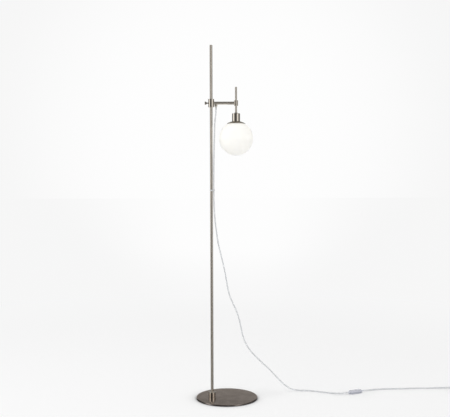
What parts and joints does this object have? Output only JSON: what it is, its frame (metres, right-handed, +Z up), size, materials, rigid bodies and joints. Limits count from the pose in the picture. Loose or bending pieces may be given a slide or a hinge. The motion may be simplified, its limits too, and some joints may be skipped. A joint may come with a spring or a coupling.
{
  "type": "globe floor lamp",
  "caption": "Slim floor lamp with a round plate, a pole, a short arm clamped at a set height, a hanging opal globe and a cord with an in-line switch.",
  "frame": {"origin": "centre of the round plate's underside, on the floor", "axes": "+Z up along the pole, +X along the arm from the pole to the globe"},
  "size_m": [1.2281, 0.2718, 1.5],
  "materials": {
    "pole_nickel": "satin nickel with a fine turned grain",
    "turned_nickel": "polished nickel, turned",
    "plate_nickel": "satin nickel, flat polished",
    "dish_nickel": "satin nickel, spun",
    "zinc_steel": "zinc plated",
    "black_rubber": "matt",
    "nylon": "natural nylon",
    "clear_cord": "clear sheath over pale cores",
    "clear_plastic": "clear, slightly frosted",
    "switch_plastic": "clear plastic with a grey tint",
    "black_plastic": "black, matt",
    "contact_brass": "bare",
    "opal_glass": "opal white, glossy",
    "bulb_glass": "frosted white",
    "live_core": "brown sheath",
    "neutral_core": "blue sheath"
  },
  "bodies": {
    "stand": {"base_pad": "black_rubber", "base_plate": "plate_nickel", "base_screw": "zinc_steel", "foot_insert": "zinc_steel", "foot_collar": "turned_nickel", "pole_lower": "pole_nickel", "pole_joiner": "zinc_steel", "pole_upper": "pole_nickel", "pole_cap": "pole_nickel", "cord_clip": "clear_plastic", "cord_drop": "clear_cord", "cord_floor": "clear_cord", "cord_lead": "clear_cord", "cord_coil": "clear_cord", "coil_tie": "clear_plastic", "cord_tail": "clear_cord", "switch_base": "switch_plastic", "switch_cover": "switch_plastic", "rocker_pin": "zinc_steel", "switch_contacts": "contact_brass", "switch_screws": "zinc_steel", "plug_body": "switch_plastic", "plug_pins": "contact_brass"},
    "carriage": {"sleeve_liner": "nylon", "cord_mid": "clear_cord"},
    "arm": {"clamp_sleeve": "turned_nickel", "arm_tube": "pole_nickel", "arm_end_sleeve": "turned_nickel", "rod_grub_screw": "zinc_steel", "hanger_rod": "pole_nickel", "rod_cap": "pole_nickel", "cup_nut": "turned_nickel", "gland_nut": "turned_nickel", "strain_relief": "clear_plastic", "cup_cover": "turned_nickel", "lampholder_body": "black_plastic", "lampholder_insert": "black_plastic", "lampholder_shell": "contact_brass", "lampholder_contact": "contact_brass", "globe_spring": "zinc_steel", "shade_ring": "black_plastic", "globe_cap": "dish_nickel", "globe_gasket": "nylon", "glass_globe": "opal_glass", "bulb_base": "contact_brass", "bulb_glass": "bulb_glass", "live_wire": "live_core", "neutral_wire": "neutral_core", "cord_top": "clear_cord"},
    "pad": {"clamp_pad": "nylon"},
    "screw": {"thumb_screw": "turned_nickel"},
    "rocker": {"switch_rocker": "switch_plastic"}
  },
  "joints": [
    {"name": "height_slide", "type": "slide", "parent": "stand", "child": "carriage", "axis": [0, 0, 1], "range_m": [-0.12, 0.2], "deforming": ["cord_mid"]},
    {"name": "arm_swivel", "type": "hinge", "parent": "carriage", "child": "arm", "pos_m": [-0.063, 0, 1.256], "axis": [0, 0, 1], "range_deg": [-135, 135], "deforming": ["cord_top"]},
    {"name": "clamp_pad_travel", "type": "slide", "parent": "arm", "child": "pad", "axis": [-1, 0, 0], "range_m": [0, 0.0016]},
    {"name": "clamp_screw_turn", "type": "hinge", "parent": "pad", "child": "screw", "pos_m": [-0.0732, 0, 1.256], "axis": [-1, 0, 0], "range_deg": [0, 540]},
    {"name": "rocker_tilt", "type": "hinge", "parent": "stand", "child": "rocker", "pos_m": [0.57097, 0.06887, 0.0113], "axis": [-0.4058, 0.914, 0], "range_deg": [0, 16]}
  ],
  "couplings": [
    {"joint": "clamp_pad_travel", "follows": "clamp_screw_turn", "m_per_rad": 0.00015915}
  ]
}
